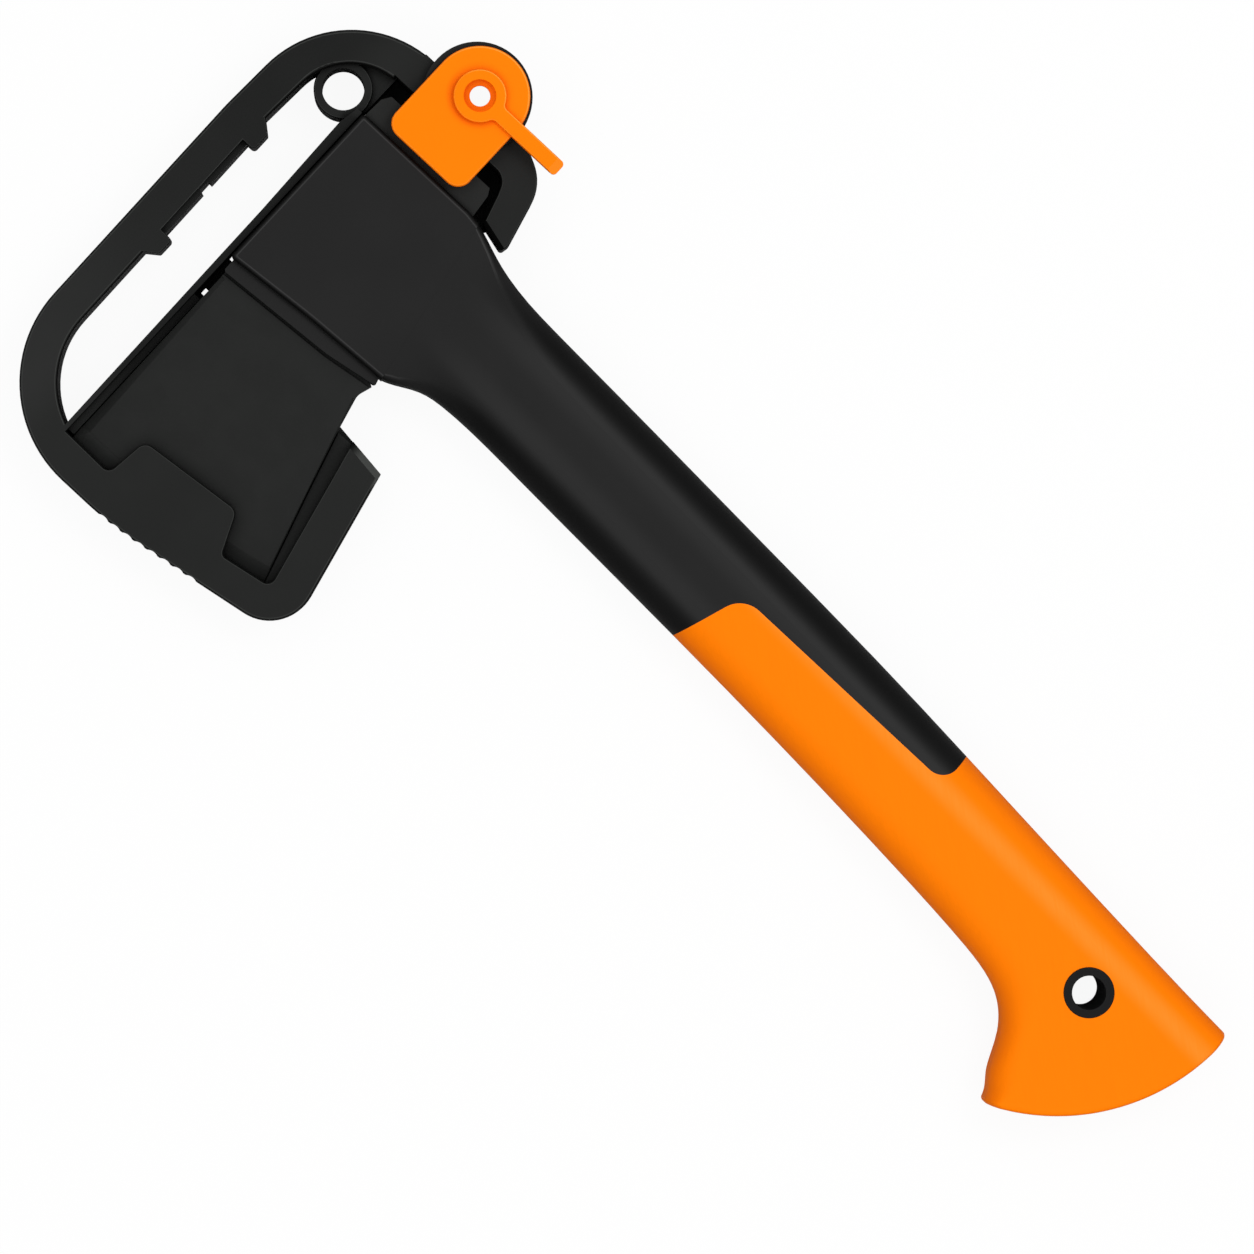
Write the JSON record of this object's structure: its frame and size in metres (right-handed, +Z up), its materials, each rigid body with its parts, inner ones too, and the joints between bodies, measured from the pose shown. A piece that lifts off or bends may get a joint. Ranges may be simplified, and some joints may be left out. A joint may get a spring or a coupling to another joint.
{
  "type": "hatchet in carry sheath",
  "caption": "One-hand chopping hatchet with a hollow composite handle and soft grip, locked in a plastic carry sheath by a turning latch.",
  "frame": {"origin": "under the middle of the whole assembly, on the surface that it lies on", "axes": "+X from the head to the butt, +Y from the cutting edge to the poll, +Z up, out of the side that the latch is on"},
  "size_m": [0.4798, 0.216, 0.0377],
  "materials": {
    "coated_steel": "satin non-stick coating on forged steel",
    "black_composite": "glass-filled nylon, fine satin",
    "orange_grip": "soft overmoulding, fine texture",
    "black_bush": "smooth moulding",
    "black_sheath": "moulded nylon, fine satin",
    "orange_latch": "smooth satin moulding",
    "spring_steel": "bright spring steel"
  },
  "bodies": {
    "root": {"blade_head": "coated_steel", "handle_shell": "black_composite", "butt_plug": "black_composite", "grip_sleeve": "orange_grip", "lanyard_bush": "black_bush", "sheath_frame": "black_sheath"},
    "latch": {"latch": "orange_latch", "retaining_clip": "spring_steel"}
  },
  "joints": [
    {"name": "latch_turn", "type": "hinge", "parent": "root", "child": "latch", "pos_m": [-0.1768, 0.0893, 0.016], "axis": [0, 0, 1], "range_deg": [0, 90]}
  ]
}
